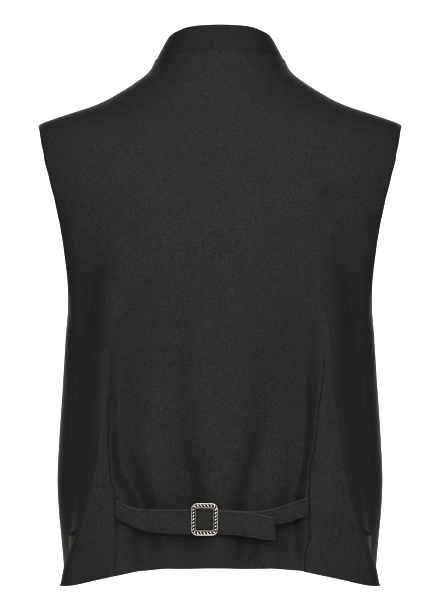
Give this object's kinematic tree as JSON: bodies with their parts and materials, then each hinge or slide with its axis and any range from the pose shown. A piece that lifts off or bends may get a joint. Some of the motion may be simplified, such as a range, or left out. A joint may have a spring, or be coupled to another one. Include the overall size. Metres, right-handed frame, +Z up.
{
  "type": "sleeveless folk vest with stand collar and buckled half-belt",
  "caption": "Worn, hollow sleeveless wool vest with a stand collar, a buttoned lapped front, side vents and a buckled half-belt across the back.",
  "frame": {"origin": "middle of the neck opening between the two neck points, where the wearer's shoulders hold the vest up", "axes": "+Z up, +Y out of the back, -Y out of the buttoned front, +X towards the wearer's left"},
  "size_m": [0.436, 0.2537, 0.666],
  "materials": {
    "wool": "fulled charcoal loden with a short matt nap",
    "trim": "muted grey-green facing cloth",
    "antique_silver": "oxidised antique silver, dark in its recesses and rubbed bright on its high rims"
  },
  "bodies": {
    "root": {"back": "wool", "front_left": "wool", "front_right": "wool", "collar": "wool", "collar_facing": "trim", "belt_long": "wool", "belt_short": "wool", "buckle": "antique_silver", "vent_facing_left": "trim", "vent_facing_right": "trim", "button_1": "antique_silver", "button_2": "antique_silver", "button_3": "antique_silver", "button_4": "antique_silver", "button_5": "antique_silver", "button_6": "antique_silver"}
  },
  "joints": []
}
